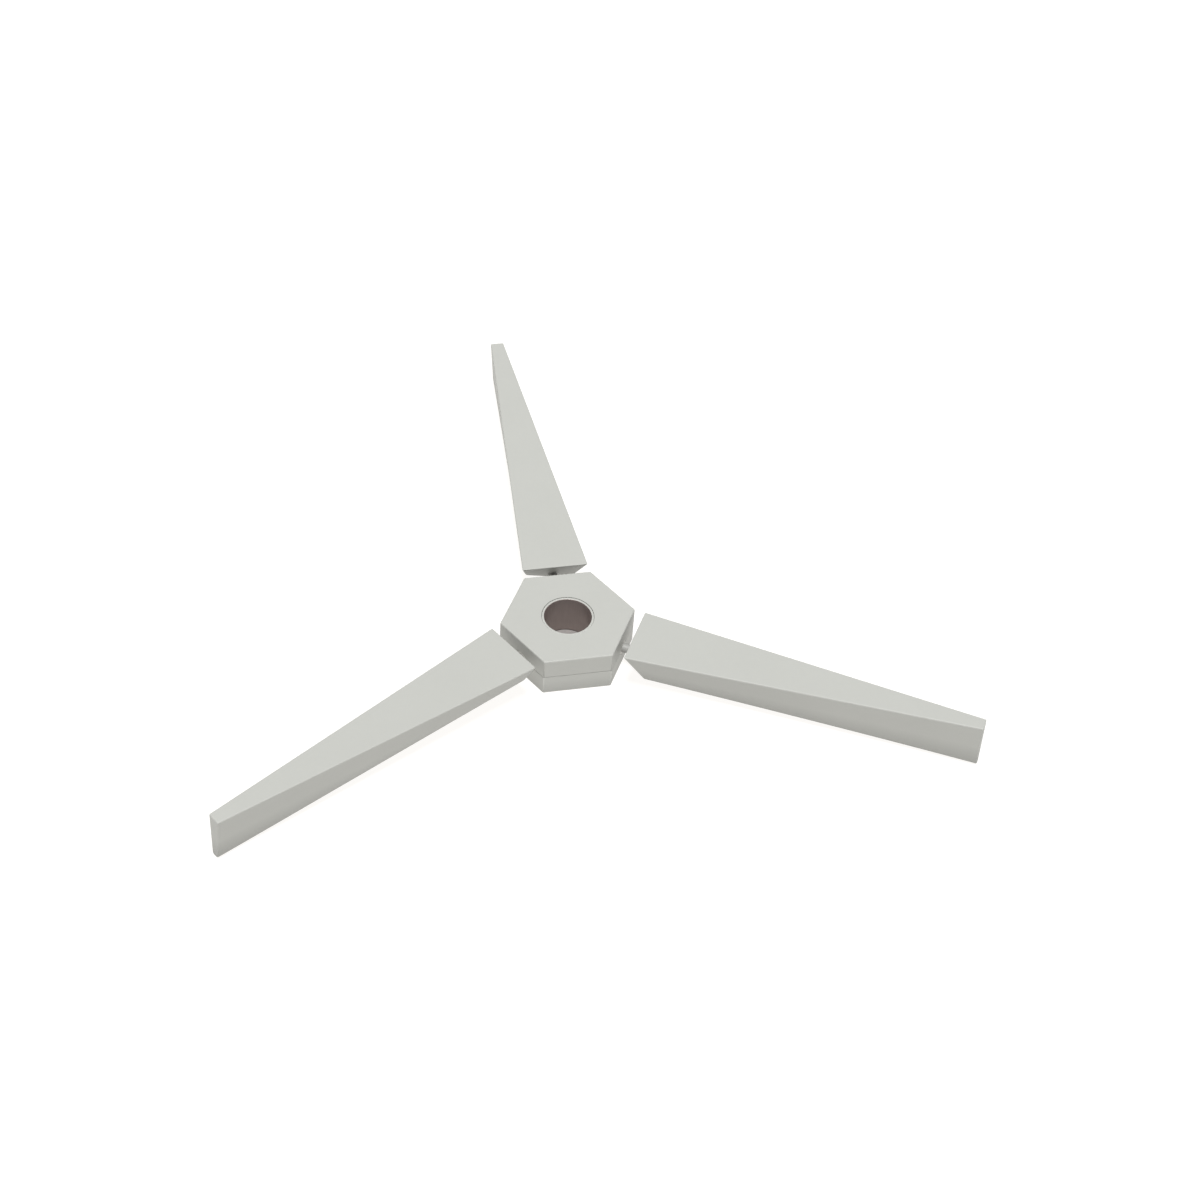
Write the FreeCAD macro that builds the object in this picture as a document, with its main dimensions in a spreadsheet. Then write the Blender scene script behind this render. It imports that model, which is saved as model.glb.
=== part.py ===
import FreeCAD, Part
import math
import os

import Sketcher

# A three-blade rotor that lies flat and turns about an upright axle.
# Origin: on the bore's axis, in the plane where the two hub halves meet.
# +Z runs up the bore, and blade 1 points along +Y.  Millimetres and degrees.
SIZES = {
    # Hexagonal hub, split at mid height
    "hub_flats": 50.0,
    "hub_half_height": 9.4,
    "hub_edge_round": 0.6,
    "parting_bevel": 0.2,
    "hub_hole_radius": 11.15,
    # Axle sleeve with a raised ball race at its middle
    "bore_radius": 10.0,
    "sleeve_radius": 11.0,
    "sleeve_half_length": 9.2,
    "bore_bevel": 0.3,
    "race_radius": 12.9,
    # Ball bearing
    "ball_radius": 1.75,
    "ball_circle": 13.9,
    "ball_clearance": 0.03,
    "ball_count": 12.0,
    "ring_inner_radius": 14.9,
    "ring_outer_radius": 17.0,
    "ring_half_width": 3.5,
    "cage_inner_radius": 13.45,
    "cage_outer_radius": 14.35,
    "cage_half_width": 2.4,
    "cage_pocket_radius": 1.85,
    "shield_inner_radius": 13.2,
    "shield_outer_radius": 15.5,
    "shield_inside": 2.95,
    "shield_thickness": 0.4,
    "seat_clearance": 0.02,
    "bearing_relief_radius": 14.8,
    "bearing_relief": 0.6,
    # Hub fasteners
    "screw_circle": 22.5,
    "screw_radius": 1.5,
    "screw_hole_radius": 1.65,
    "screw_head_radius": 2.75,
    "screw_head_height": 3.0,
    "screw_socket_flats": 2.5,
    "screw_socket_depth": 1.6,
    "screw_end": 5.0,
    "counterbore_radius": 2.95,
    "counterbore_depth": 3.2,
    "insert_bore_radius": 1.53,
    "insert_radius": 2.1,
    "insert_start": 0.4,
    "insert_length": 5.2,
    "insert_hole_depth": 6.2,
    "dowel_circle": 20.6,
    "dowel_radius": 1.5,
    "dowel_half_length": 3.6,
    "dowel_hole_depth": 4.0,
    # Blade spindle and what holds it in the hub; distances are from the rotor's axis
    "spindle_radius": 2.0,
    "spindle_end": 61.0,
    "spindle_tip_bevel": 0.5,
    "head_start": 18.2,
    "head_end": 19.8,
    "head_radius": 3.3,
    "lug_height": 4.6,
    "lug_half_width": 1.1,
    "chamber_start": 18.0,
    "chamber_end": 20.0,
    "chamber_radius": 3.6,
    "lug_chamber_radius": 4.9,
    "washer_start": 19.85,
    "washer_bore_radius": 2.1,
    "washer_radius": 3.5,
    "friction_ring_start": 20.35,
    "friction_ring_bore_radius": 2.05,
    "friction_ring_radius": 3.4,
    "bush_start": 21.4,
    "bush_bore_radius": 2.03,
    "bush_radius": 3.2,
    # Blades; widths are across the blade and depths are below the hub's top
    "root_gap": 4.4,
    "root_lean": 30.0,
    "root_lead_width": 14.3,
    "root_trail_width": 14.5,
    "root_lead_keel": 8.5,
    "root_trail_keel": 12.0,
    "root_lead_depth": 17.3,
    "root_trail_depth": 7.6,
    "blade_tip": 178.5,
    "tip_rise": 4.2,
    "tip_lean": 2.0,
    "tip_lead_width": 1.2,
    "tip_trail_width": 4.8,
    "tip_lead_keel": 0.4,
    "tip_trail_keel": 3.2,
    "tip_depth": 18.4,
    "root_keel_round": 3.6,
    "tip_keel_round": 1.4,
    "blade_edge_round": 0.5,
    # Roll pin that locks the spindle in its blade
    "pin_place": 45.0,
    "pin_radius": 1.0,
    "pin_bore_radius": 0.5,
    "pin_slot_half_width": 0.2,
    "pin_top": 3.6,
    "pin_length": 6.2,
}
BLADE_ANGLES = {1: 90.0, 2: 210.0, 3: 330.0}
HEX_SIDES = 6
BLADE_COUNT = len(BLADE_ANGLES)
FULL_TURN = 360.0


# ---- Document, sketches and features ----

def make_sheet(doc):
    """Write the driving dimensions into an aliased spreadsheet."""
    sheet = doc.addObject("Spreadsheet::Sheet", "Size")
    for row, (name, size) in enumerate(SIZES.items(), start=1):
        sheet.set(f"A{row}", name)
        sheet.set(f"B{row}", str(size))
        sheet.setAlias(f"B{row}", name)
    doc.recompute()
    return sheet


def new_body(doc, label):
    """Start a sub-part; a ring of equal pieces may be several solids."""
    body = doc.addObject("PartDesign::Body", label)
    body.AllowCompound = True
    return body


def origin_feature(body, role):
    """Return one of a body's own origin planes or axes."""
    return next(item for item in body.Origin.OriginFeatures if item.Role == role)


def new_sketch(body, name, role, lift="0"):
    """Attach a sketch to an origin plane, lifted along the plane's normal."""
    sketch = body.newObject("Sketcher::SketchObject", name)
    sketch.AttachmentSupport = [(origin_feature(body, role), "")]
    sketch.MapMode = "FlatFace"
    sketch.setExpression("AttachmentOffset.Base.z", lift)
    return sketch


def value(item, expression):
    """Work out an expression on the sheet as a plain number."""
    return float(item.evalExpression(expression))


def pin_coordinate(sketch, geometry, point, kind, expression):
    """Hold one coordinate of a sketch point at an expression."""
    if expression == "0":
        axis = -2 if kind == "DistanceX" else -1
        sketch.addConstraint(Sketcher.Constraint("PointOnObject", geometry, point, axis))
        return
    size = value(sketch, expression)
    index = sketch.addConstraint(Sketcher.Constraint(kind, geometry, point, size))
    sketch.setExpression(f"Constraints[{index}]", expression)


def add_outline(sketch, corners):
    """Draw a closed outline of straight lines through driven corners."""
    points = [FreeCAD.Vector(value(sketch, x), value(sketch, y), 0) for x, y in corners]
    lines = []
    for start, end in zip(points, points[1:] + points[:1]):
        lines.append(sketch.addGeometry(Part.LineSegment(start, end), False))
    for previous, line, (x, y) in zip(lines[-1:] + lines[:-1], lines, corners):
        sketch.addConstraint(Sketcher.Constraint("Coincident", previous, 2, line, 1))
        pin_coordinate(sketch, line, 1, "DistanceX", x)
        pin_coordinate(sketch, line, 1, "DistanceY", y)


def add_circle(sketch, x, y, radius):
    """Draw a circle with a driven centre and radius."""
    centre = FreeCAD.Vector(value(sketch, x), value(sketch, y), 0)
    circle = Part.Circle(centre, FreeCAD.Vector(0, 0, 1), value(sketch, radius))
    geometry = sketch.addGeometry(circle, False)
    pin_coordinate(sketch, geometry, 3, "DistanceX", x)
    pin_coordinate(sketch, geometry, 3, "DistanceY", y)
    index = sketch.addConstraint(Sketcher.Constraint("Radius", geometry, circle.Radius))
    sketch.setExpression(f"Constraints[{index}]", radius)


def corner_arc(before, corner, after, radius):
    """Give the arc that rounds a corner of an outline drawn anticlockwise."""
    back = (before - corner).normalize()
    ahead = (after - corner).normalize()
    half_angle = back.getAngle(ahead) / 2
    middle = (back + ahead).normalize()
    centre = corner + middle * (radius / math.sin(half_angle))
    reach = radius / math.tan(half_angle)
    start = corner + back * reach - centre
    end = corner + ahead * reach - centre
    circle = Part.Circle(centre, FreeCAD.Vector(0, 0, 1), radius)
    angles = [math.atan2(side.y, side.x) for side in (start, end)]
    return Part.ArcOfCircle(circle, angles[0], angles[1])


def add_rounded_outline(sketch, corners, radii):
    """Draw an outline whose driven corners are rounded with driven radii."""
    count = len(corners)
    points = [FreeCAD.Vector(value(sketch, x), value(sketch, y), 0) for x, y in corners]
    guides = []
    for index, (x, y) in enumerate(corners):
        side = Part.LineSegment(points[index], points[(index + 1) % count])
        guides.append(sketch.addGeometry(side, True))
        pin_coordinate(sketch, guides[-1], 1, "DistanceX", x)
        pin_coordinate(sketch, guides[-1], 1, "DistanceY", y)
    for index, guide in enumerate(guides):
        following = guides[(index + 1) % count]
        sketch.addConstraint(Sketcher.Constraint("Coincident", guide, 2, following, 1))
    shapes = [
        corner_arc(points[index - 1], points[index], points[(index + 1) % count],
                   value(sketch, radii[index]))
        for index in range(count)
    ]
    sides = []
    for index, guide in enumerate(guides):
        start = shapes[index].EndPoint
        end = shapes[(index + 1) % count].StartPoint
        sides.append(sketch.addGeometry(Part.LineSegment(start, end), False))
        for point in (1, 2):
            sketch.addConstraint(
                Sketcher.Constraint("PointOnObject", sides[-1], point, guide))
    for index, shape in enumerate(shapes):
        arc = sketch.addGeometry(shape, False)
        sketch.addConstraint(Sketcher.Constraint("Tangent", arc, 1, sides[index - 1], 2))
        sketch.addConstraint(Sketcher.Constraint("Tangent", arc, 2, sides[index], 1))
        drive = sketch.addConstraint(Sketcher.Constraint("Radius", arc, shape.Radius))
        sketch.setExpression(f"Constraints[{drive}]", radii[index])


def rectangle(left, right, low, high):
    """Give the corners of an upright rectangle."""
    return [(left, low), (right, low), (right, high), (left, high)]


def add_feature(body, kind, name, sketch):
    """Add a feature that follows a sketch and make it the body's last one."""
    feature = body.newObject(kind, name)
    feature.Profile = sketch
    body.Tip = feature
    return feature


def pad(body, name, sketch, length):
    """Extrude a sketch along its normal."""
    feature = add_feature(body, "PartDesign::Pad", name, sketch)
    feature.setExpression("Length", length)
    return feature


def pocket(body, name, sketch, depth, along_normal):
    """Cut a sketch into the body and make sure that it removed material."""
    body.Document.recompute()
    before = body.Shape.Volume
    feature = add_feature(body, "PartDesign::Pocket", name, sketch)
    feature.setExpression("Length", depth)
    feature.Reversed = along_normal
    return require_cut(body, feature, before)


def revolve(body, name, sketch, axis):
    """Turn a sketch once round its own horizontal or vertical axis."""
    feature = add_feature(body, "PartDesign::Revolution", name, sketch)
    feature.ReferenceAxis = (sketch, [axis])
    feature.Angle = FULL_TURN
    return feature


def groove(body, name, sketch, axis):
    """Cut a sketch out all round an axis."""
    body.Document.recompute()
    before = body.Shape.Volume
    feature = add_feature(body, "PartDesign::Groove", name, sketch)
    feature.ReferenceAxis = (sketch, [axis])
    feature.Angle = FULL_TURN
    return require_cut(body, feature, before)


def require_cut(body, feature, before):
    """Stop if a cutting feature left the volume as it was."""
    body.Document.recompute()
    if body.Shape.Volume >= before - 1e-6:
        raise ValueError(f"{body.Label}: {feature.Label} cuts nothing")
    return feature


def repeat_round(body, name, originals, count):
    """Repeat features at equal angles round the rotor's axis."""
    pattern = body.newObject("PartDesign::PolarPattern", name)
    pattern.Originals = originals
    pattern.Axis = (origin_feature(body, "Z_Axis"), [""])
    pattern.Angle = FULL_TURN
    pattern.Occurrences = count
    body.Tip = pattern
    return pattern


def soften(body, kind, name, test, size_property, size):
    """Fillet or chamfer every edge of the body that passes a test."""
    body.Document.recompute()
    base = body.Tip
    edges = [f"Edge{i}" for i, edge in enumerate(base.Shape.Edges, start=1) if test(edge)]
    feature = body.newObject(kind, name)
    feature.Base = (base, edges)
    feature.setExpression(size_property, size)
    body.Tip = feature
    return feature


def edge_ends(edge):
    """Give the heights and the distances from the Z axis of an edge's ends."""
    heights = [vertex.Point.z for vertex in edge.Vertexes]
    reaches = [math.hypot(vertex.Point.x, vertex.Point.y) for vertex in edge.Vertexes]
    return heights, reaches


# ---- Axle sleeve and bearing ----

def make_axle_sleeve(doc):
    """Thin metal tube with a raised ball race round its middle."""
    body = new_body(doc, "axle_sleeve")
    half, race = "Size.sleeve_half_length", "Size.ring_half_width"
    bore, tube, band = "Size.bore_radius", "Size.sleeve_radius", "Size.race_radius"
    profile = new_sketch(body, "sleeve_profile", "XZ_Plane")
    add_outline(profile, [
        (bore, f"-{half}"), (tube, f"-{half}"), (tube, f"-{race}"), (band, f"-{race}"),
        (band, race), (tube, race), (tube, half), (bore, half),
    ])
    revolve(body, "sleeve_turning", profile, "V_Axis")
    track = new_sketch(body, "race_profile", "XZ_Plane")
    add_circle(track, "Size.ball_circle", "0", "Size.ball_radius + Size.ball_clearance")
    groove(body, "ball_track", track, "V_Axis")
    end_height = SIZES["sleeve_half_length"]

    def is_end(edge):
        heights, _ = edge_ends(edge)
        return all(abs(abs(height) - end_height) < 1e-6 for height in heights)

    soften(body, "PartDesign::Chamfer", "end_bevels", is_end, "Size", "Size.bore_bevel")
    return body


def make_outer_ring(doc):
    """Outer bearing ring with a ball track and a step for each shield."""
    body = new_body(doc, "bearing_outer_ring")
    inner, outer = "Size.ring_inner_radius", "Size.ring_outer_radius"
    step, lip = "Size.shield_outer_radius", "Size.shield_inside"
    half = "Size.ring_half_width"
    profile = new_sketch(body, "ring_profile", "XZ_Plane")
    add_outline(profile, [
        (inner, f"-{lip}"), (step, f"-{lip}"), (step, f"-{half}"), (outer, f"-{half}"),
        (outer, half), (step, half), (step, lip), (inner, lip),
    ])
    revolve(body, "ring_turning", profile, "V_Axis")
    track = new_sketch(body, "track_profile", "XZ_Plane")
    add_circle(track, "Size.ball_circle", "0", "Size.ball_radius + Size.ball_clearance")
    groove(body, "ball_track", track, "V_Axis")
    return body


def make_shield(doc, label, side):
    """Thin washer that closes one side of the bearing."""
    body = new_body(doc, label)
    near = f"{side} * Size.shield_inside"
    far = f"{side} * (Size.shield_inside + Size.shield_thickness)"
    rim = "Size.shield_outer_radius - Size.seat_clearance"
    profile = new_sketch(body, f"{label}_profile", "XZ_Plane")
    add_outline(profile, rectangle("Size.shield_inner_radius", rim, near, far))
    revolve(body, f"{label}_turning", profile, "V_Axis")
    return body


def make_balls(doc):
    """Ring of bearing balls, each a separate solid."""
    body = new_body(doc, "bearing_balls")
    profile = new_sketch(body, "ball_profile", "YZ_Plane")
    centre = FreeCAD.Vector(SIZES["ball_circle"], 0, 0)
    circle = Part.Circle(centre, FreeCAD.Vector(0, 0, 1), SIZES["ball_radius"])
    arc = profile.addGeometry(Part.ArcOfCircle(circle, 0, math.pi), False)
    start = centre - FreeCAD.Vector(SIZES["ball_radius"], 0, 0)
    end = centre + FreeCAD.Vector(SIZES["ball_radius"], 0, 0)
    line = profile.addGeometry(Part.LineSegment(start, end), False)
    profile.addConstraint(Sketcher.Constraint("Coincident", arc, 1, line, 2))
    profile.addConstraint(Sketcher.Constraint("Coincident", arc, 2, line, 1))
    profile.addConstraint(Sketcher.Constraint("PointOnObject", line, 1, -1))
    pin_coordinate(profile, arc, 3, "DistanceX", "Size.ball_circle")
    pin_coordinate(profile, arc, 3, "DistanceY", "0")
    index = profile.addConstraint(Sketcher.Constraint("Radius", arc, SIZES["ball_radius"]))
    profile.setExpression(f"Constraints[{index}]", "Size.ball_radius")
    ball = revolve(body, "first_ball", profile, "H_Axis")
    repeat_round(body, "ball_ring", [ball], int(SIZES["ball_count"]))
    return body


def make_cage(doc):
    """Ring with a round pocket for every ball."""
    body = new_body(doc, "ball_cage")
    inner, outer = "Size.cage_inner_radius", "Size.cage_outer_radius"
    half = "Size.cage_half_width"
    profile = new_sketch(body, "cage_profile", "XZ_Plane")
    add_outline(profile, rectangle(inner, outer, f"-{half}", half))
    revolve(body, "cage_turning", profile, "V_Axis")
    window = new_sketch(body, "pocket_profile", "YZ_Plane")
    add_outline(window, rectangle(f"{inner} - 1", f"{outer} + 1", "0", "Size.cage_pocket_radius"))
    hole = groove(body, "ball_pocket", window, "H_Axis")
    repeat_round(body, "ball_pockets", [hole], int(SIZES["ball_count"]))
    return body


# ---- Hub halves ----

def hexagon_corners():
    """Corners of the hub's outline, the first on +X."""
    reach = "Size.hub_flats / 2 / cos(30)"
    across, along = f"{reach} * cos(60)", "Size.hub_flats / 2"
    return [
        (reach, "0"), (across, along), (f"-{across}", along),
        (f"-{reach}", "0"), (f"-{across}", f"-{along}"), (across, f"-{along}"),
    ]


def cut_bearing_seat(body, side):
    """Bore the seat of the outer ring, the relief over the bearing and the sleeve's hole."""
    upward = side > 0
    depth = "Size.ring_half_width"
    steps = [
        ("bearing_seat", "Size.ring_outer_radius + Size.seat_clearance", depth),
        ("bearing_relief", "Size.bearing_relief_radius", f"{depth} + Size.bearing_relief"),
        ("sleeve_hole", "Size.hub_hole_radius", "Size.hub_half_height"),
    ]
    for name, radius, length in steps:
        sketch = new_sketch(body, f"{name}_sketch", "XY_Plane")
        add_circle(sketch, "0", "0", radius)
        pocket(body, name, sketch, length, upward)


def cut_spindle_chambers(body, side):
    """Cut the stepped channel of each spindle; only the upper half clears the stop lug."""
    head_radius = "Size.lug_chamber_radius" if side > 0 else "Size.chamber_radius"
    profile = new_sketch(body, "spindle_channel_profile", "YZ_Plane")
    outside = "Size.hub_flats / 2 + 2"
    ring_radius = "Size.chamber_radius"
    bush_radius = "Size.bush_radius + Size.seat_clearance"
    add_outline(profile, [
        ("Size.chamber_start", "0"), (outside, "0"), (outside, bush_radius),
        ("Size.bush_start", bush_radius), ("Size.bush_start", ring_radius),
        ("Size.chamber_end", ring_radius), ("Size.chamber_end", head_radius),
        ("Size.chamber_start", head_radius),
    ] if side > 0 else [
        ("Size.chamber_start", "0"), (outside, "0"), (outside, bush_radius),
        ("Size.bush_start", bush_radius), ("Size.bush_start", ring_radius),
        ("Size.chamber_start", ring_radius),
    ])
    channel = groove(body, "spindle_channel", profile, "H_Axis")
    repeat_round(body, "spindle_channels", [channel], BLADE_COUNT)


def cut_round_hole(body, name, place, radius, depth, lift, upward):
    """Cut one hole parallel to the rotor's axis."""
    sketch = new_sketch(body, f"{name}_sketch", "XY_Plane", lift)
    add_circle(sketch, place[0], place[1], radius)
    return pocket(body, name, sketch, depth, upward)


def cut_fastener_holes(body, side):
    """Cut a screw hole at each corner and a dowel hole on each free side."""
    upward = side > 0
    corner = ("Size.screw_circle", "0")
    free_side = ("Size.dowel_circle * cos(30)", "Size.dowel_circle * sin(30)")
    dowel = cut_round_hole(body, "dowel_hole", free_side,
                           "Size.dowel_radius + Size.seat_clearance",
                           "Size.dowel_hole_depth", "0", upward)
    repeat_round(body, "dowel_holes", [dowel], BLADE_COUNT)
    if upward:
        hole = cut_round_hole(body, "insert_hole", corner,
                              "Size.insert_radius + Size.seat_clearance",
                              "Size.insert_hole_depth", "0", True)
        repeat_round(body, "insert_holes", [hole], HEX_SIDES)
        return
    hole = cut_round_hole(body, "screw_hole", corner, "Size.screw_hole_radius",
                          "Size.hub_half_height", "0", False)
    repeat_round(body, "screw_holes", [hole], HEX_SIDES)
    sink = cut_round_hole(body, "counterbore", corner, "Size.counterbore_radius",
                          "Size.counterbore_depth", "-Size.hub_half_height", True)
    repeat_round(body, "counterbores", [sink], HEX_SIDES)


def make_hub_half(doc, label, side):
    """One moulded half of the hub, above or below the parting plane."""
    body = new_body(doc, label)
    outline = new_sketch(body, f"{label}_outline", "XY_Plane")
    add_outline(outline, hexagon_corners())
    block = pad(body, f"{label}_block", outline, "Size.hub_half_height")
    block.Reversed = side < 0
    apothem = SIZES["hub_flats"] / 2

    def is_parting(edge):
        heights, reaches = edge_ends(edge)
        return max(map(abs, heights)) < 1e-6 and min(reaches) > apothem

    def is_outer(edge):
        heights, reaches = edge_ends(edge)
        return max(map(abs, heights)) > 1 and min(reaches) > apothem

    soften(body, "PartDesign::Chamfer", "parting_bevel", is_parting, "Size",
           "Size.parting_bevel")
    soften(body, "PartDesign::Fillet", "outer_edges", is_outer, "Radius",
           "Size.hub_edge_round")
    cut_bearing_seat(body, side)
    cut_spindle_chambers(body, side)
    cut_fastener_holes(body, side)
    return body


# ---- Hub fasteners ----

def make_screws(doc):
    """Six socket-head screws, put in from below at the hub's corners."""
    body = new_body(doc, "hub_screws")
    place = "Size.screw_circle"
    under_head = "(-Size.hub_half_height + Size.counterbore_depth)"
    shank_sketch = new_sketch(body, "shank_sketch", "XY_Plane", under_head)
    add_circle(shank_sketch, place, "0", "Size.screw_radius")
    shank = pad(body, "shank", shank_sketch, f"Size.screw_end - {under_head}")
    head_base = f"{under_head} - Size.screw_head_height"
    head_sketch = new_sketch(body, "head_sketch", "XY_Plane", head_base)
    add_circle(head_sketch, place, "0", "Size.screw_head_radius")
    head = pad(body, "head", head_sketch, "Size.screw_head_height")
    socket_sketch = new_sketch(body, "socket_sketch", "XY_Plane", head_base)
    reach = "Size.screw_socket_flats / 2 / cos(30)"
    rise = "Size.screw_socket_flats / 2"
    add_outline(socket_sketch, [
        (f"{place} + {reach}", "0"), (f"{place} + {reach} / 2", rise),
        (f"{place} - {reach} / 2", rise), (f"{place} - {reach}", "0"),
        (f"{place} - {reach} / 2", f"-{rise}"), (f"{place} + {reach} / 2", f"-{rise}"),
    ])
    socket = pocket(body, "socket", socket_sketch, "Size.screw_socket_depth", True)
    repeat_round(body, "screw_ring", [shank, head, socket], HEX_SIDES)
    return body


def make_inserts(doc):
    """Six threaded bushes set into the upper half."""
    body = new_body(doc, "threaded_inserts")
    sketch = new_sketch(body, "insert_sketch", "XY_Plane", "Size.insert_start")
    add_circle(sketch, "Size.screw_circle", "0", "Size.insert_radius")
    add_circle(sketch, "Size.screw_circle", "0", "Size.insert_bore_radius")
    insert = pad(body, "insert", sketch, "Size.insert_length")
    repeat_round(body, "insert_ring", [insert], HEX_SIDES)
    return body


def make_dowels(doc):
    """Three pins that line the two halves up."""
    body = new_body(doc, "locating_pins")
    sketch = new_sketch(body, "pin_sketch", "XY_Plane", "-Size.dowel_half_length")
    add_circle(sketch, "Size.dowel_circle * cos(30)", "Size.dowel_circle * sin(30)",
               "Size.dowel_radius")
    dowel = pad(body, "pin", sketch, "2 * Size.dowel_half_length")
    repeat_round(body, "pin_ring", [dowel], BLADE_COUNT)
    return body


def make_spindle_rings(doc, label, bore, outside, start, end):
    """Three equal rings, one round each blade spindle inside the hub."""
    body = new_body(doc, label)
    profile = new_sketch(body, f"{label}_profile", "YZ_Plane")
    add_outline(profile, rectangle(start, end, bore, outside))
    first = revolve(body, f"{label}_turning", profile, "H_Axis")
    repeat_round(body, f"{label}_ring", [first], BLADE_COUNT)
    return body


# ---- Blades ----

def make_section(body, name, reach, height, lean, corners, keel_round):
    """Draw one end of a blade on a plane that leans outwards as it goes down."""
    sketch = new_sketch(body, name, "YZ_Plane", reach)
    sketch.setExpression("AttachmentOffset.Base.y", height)
    turn = FreeCAD.Rotation(FreeCAD.Vector(1, 0, 0), -SIZES[lean])
    sketch.AttachmentOffset = FreeCAD.Placement(sketch.AttachmentOffset.Base, turn)
    leaning = f"cos(Size.{lean})"
    edge_round = "Size.blade_edge_round"
    add_rounded_outline(sketch, [
        (x, y if y == "0" else f"-({y}) / {leaning}") for x, y in corners
    ], [edge_round, keel_round, keel_round, edge_round])
    return sketch


def make_blade(doc, number):
    """Tapering, twisted blade, drawn along +X and turned to its place."""
    body = new_body(doc, f"blade_{number}")
    top = "Size.hub_half_height"
    root = make_section(body, "root_section", "Size.hub_flats / 2 + Size.root_gap", top,
                        "root_lean", [
                            ("-Size.root_lead_width", "0"),
                            ("-Size.root_lead_keel", "Size.root_lead_depth"),
                            ("Size.root_trail_keel", "Size.root_trail_depth"),
                            ("Size.root_trail_width", "0"),
                        ], "Size.root_keel_round")
    depth = "Size.tip_depth + Size.tip_rise"
    tip = make_section(body, "tip_section", "Size.blade_tip", f"{top} + Size.tip_rise",
                       "tip_lean", [
                           ("-Size.tip_lead_width", "0"),
                           ("-Size.tip_lead_keel", depth),
                           ("Size.tip_trail_keel", depth),
                           ("Size.tip_trail_width", "0"),
                       ], "Size.tip_keel_round")
    loft = add_feature(body, "PartDesign::AdditiveLoft", "blade_form", root)
    loft.Sections = [tip]
    loft.Ruled = True
    bore = new_sketch(body, "spindle_bore_profile", "XZ_Plane")
    clearance = "Size.spindle_radius + Size.seat_clearance"
    bore_end = "Size.spindle_end + Size.seat_clearance"
    add_outline(bore, rectangle("Size.hub_flats / 2", bore_end, "0", clearance))
    groove(body, "spindle_bore", bore, "H_Axis")
    cut_round_hole(body, "pin_hole", ("Size.pin_place", "0"),
                   "Size.pin_radius + Size.seat_clearance", "Size.hub_flats",
                   "Size.pin_top + Size.seat_clearance", False)
    return turn_to_place(body, number)


def make_spindle(doc, number):
    """Steel spindle whose head has a lug that stops the blade's turn."""
    body = new_body(doc, f"blade_spindle_{number}")
    shaft, bevel = "Size.spindle_radius", "Size.spindle_tip_bevel"
    profile = new_sketch(body, "spindle_profile", "XZ_Plane")
    add_outline(profile, [
        ("Size.head_start", "0"), ("Size.spindle_end", "0"),
        ("Size.spindle_end", f"{shaft} - {bevel}"), (f"Size.spindle_end - {bevel}", shaft),
        ("Size.head_end", shaft), ("Size.head_end", "Size.head_radius"),
        ("Size.head_start", "Size.head_radius"),
    ])
    revolve(body, "spindle_turning", profile, "H_Axis")
    lug = new_sketch(body, "lug_sketch", "YZ_Plane", "Size.head_start")
    width = "Size.lug_half_width"
    add_outline(lug, rectangle(f"-{width}", width, shaft, "Size.lug_height"))
    pad(body, "stop_lug", lug, "Size.head_end - Size.head_start")
    cut_round_hole(body, "pin_hole", ("Size.pin_place", "0"),
                   "Size.pin_radius + Size.seat_clearance", "Size.hub_flats",
                   "Size.pin_top", False)
    return turn_to_place(body, number)


def make_roll_pin(doc, number):
    """Slotted spring pin through the spindle, put in from the blade's underside."""
    body = new_body(doc, f"roll_pin_{number}")
    base = "Size.pin_top - Size.pin_length"
    ring = new_sketch(body, "ring_sketch", "XY_Plane", base)
    add_circle(ring, "Size.pin_place", "0", "Size.pin_radius")
    add_circle(ring, "Size.pin_place", "0", "Size.pin_bore_radius")
    pad(body, "rolled_wall", ring, "Size.pin_length")
    slot = new_sketch(body, "slot_sketch", "XY_Plane", base)
    width = "Size.pin_slot_half_width"
    add_outline(slot, rectangle("Size.pin_place", "Size.pin_place + Size.spindle_radius",
                                f"-{width}", width))
    pocket(body, "slot", slot, "Size.pin_length", True)
    return turn_to_place(body, number)


def turn_to_place(body, number):
    """Turn a piece from +X to its blade's own direction."""
    turn = FreeCAD.Rotation(FreeCAD.Vector(0, 0, 1), BLADE_ANGLES[number])
    body.Placement = FreeCAD.Placement(FreeCAD.Vector(0, 0, 0), turn)
    return body


# ---- Whole rotor ----

def make_rotor(doc):
    """Build every sub-part of the rotor."""
    pieces = [
        make_axle_sleeve(doc),
        make_balls(doc),
        make_cage(doc),
        make_outer_ring(doc),
        make_shield(doc, "upper_shield", 1),
        make_shield(doc, "lower_shield", -1),
        make_hub_half(doc, "upper_hub_half", 1),
        make_hub_half(doc, "lower_hub_half", -1),
        make_screws(doc),
        make_inserts(doc),
        make_dowels(doc),
        make_spindle_rings(doc, "thrust_washers", "Size.washer_bore_radius",
                           "Size.washer_radius", "Size.washer_start",
                           "Size.friction_ring_start"),
        make_spindle_rings(doc, "friction_rings", "Size.friction_ring_bore_radius",
                           "Size.friction_ring_radius", "Size.friction_ring_start",
                           "Size.bush_start"),
        make_spindle_rings(doc, "spindle_bushes", "Size.bush_bore_radius",
                           "Size.bush_radius", "Size.bush_start", "Size.hub_flats / 2"),
    ]
    for number in BLADE_ANGLES:
        pieces.append(make_blade(doc, number))
        pieces.append(make_spindle(doc, number))
        pieces.append(make_roll_pin(doc, number))
    doc.recompute()
    return pieces


def check_document(doc, pieces):
    """Stop on any failed feature or unsound shape."""
    for item in doc.Objects:
        if "Invalid" in item.State or "Error" in item.State:
            raise ValueError(f"{item.Label} failed: {item.State}")
    for piece in pieces:
        if piece.Shape.isNull() or not piece.Shape.isValid():
            raise ValueError(f"{piece.Label} has no sound shape")


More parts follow.
